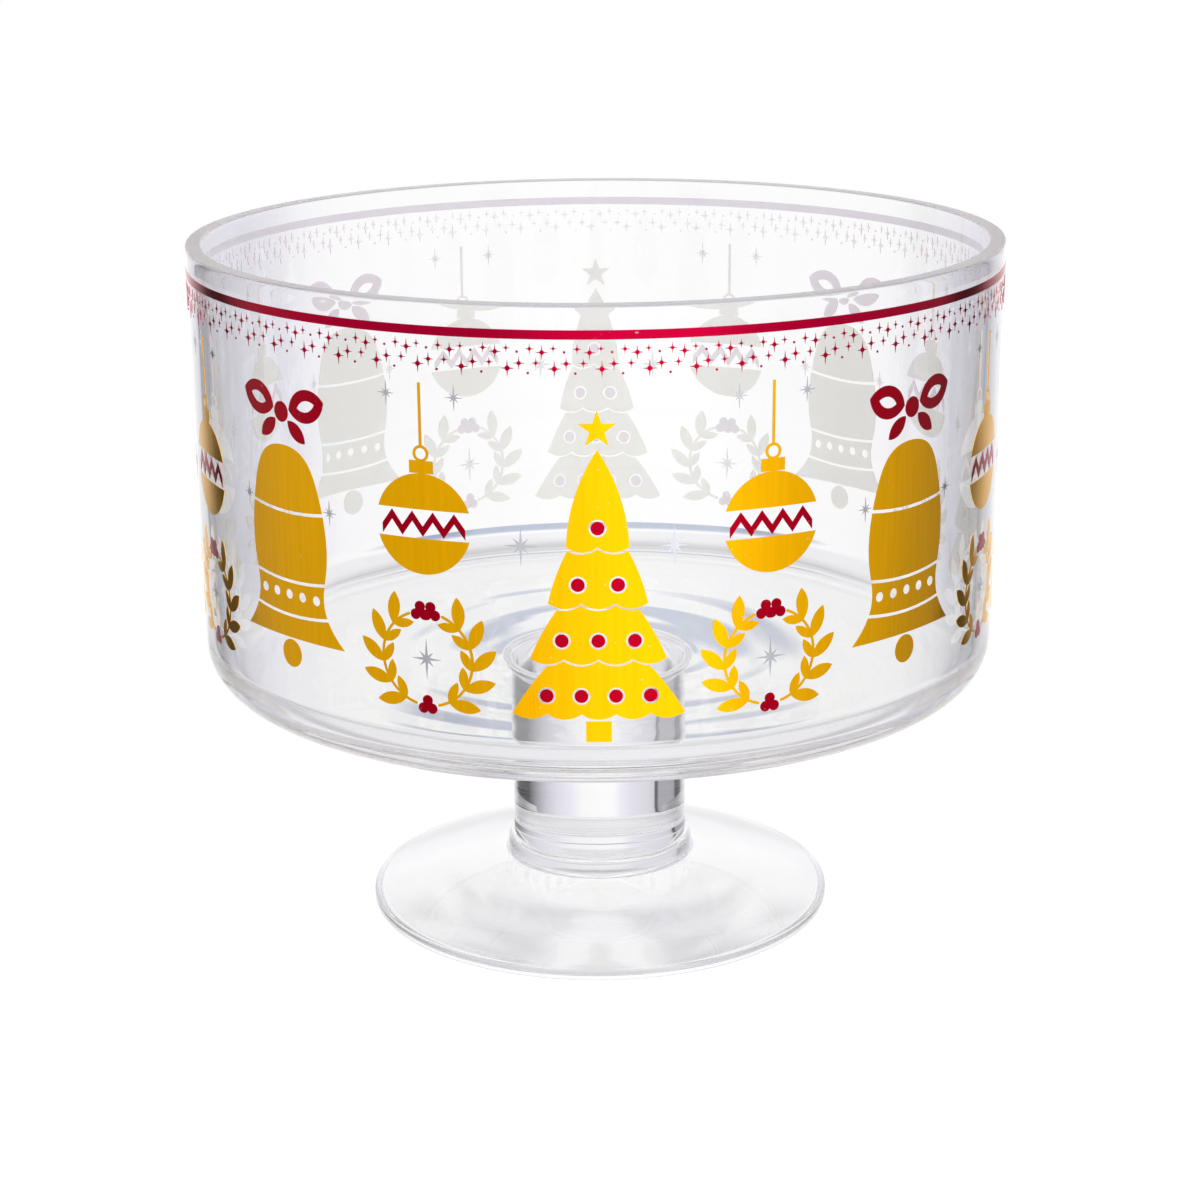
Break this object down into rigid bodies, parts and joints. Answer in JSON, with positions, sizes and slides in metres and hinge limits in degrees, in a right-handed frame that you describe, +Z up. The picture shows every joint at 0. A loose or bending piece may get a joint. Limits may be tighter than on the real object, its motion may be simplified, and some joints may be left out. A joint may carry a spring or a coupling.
{
  "type": "footed trifle bowl",
  "caption": "Straight-sided clear glass serving bowl on a solid stem and domed foot, with gold, red and silver foil ornament round the wall.",
  "frame": {"origin": "centre of the foot's resting ring, on the table", "axes": "+Z up along the axis of the bowl, -Y towards the viewer of the picture, +X to the right"},
  "size_m": [0.2102, 0.2102, 0.1823],
  "materials": {
    "clear_glass": "clear polished soda-lime glass",
    "bond_resin": "clear cured adhesive film",
    "gold_foil": "bright gold hot-stamped foil",
    "red_foil": "bright red hot-stamped foil",
    "silver_foil": "bright silver hot-stamped foil"
  },
  "bodies": {
    "root": {"bowl": "clear_glass", "stem": "clear_glass", "foot": "clear_glass", "upper_bond": "bond_resin", "lower_bond": "bond_resin", "gold_fir_trees": "gold_foil", "gold_bells": "gold_foil", "gold_baubles": "gold_foil", "gold_wreaths": "gold_foil", "red_rim_band": "red_foil", "red_star_border": "red_foil", "red_tree_balls": "red_foil", "red_bows": "red_foil", "red_zigzags": "red_foil", "red_berries": "red_foil", "silver_large_stars": "silver_foil", "silver_small_stars": "silver_foil"}
  },
  "joints": []
}
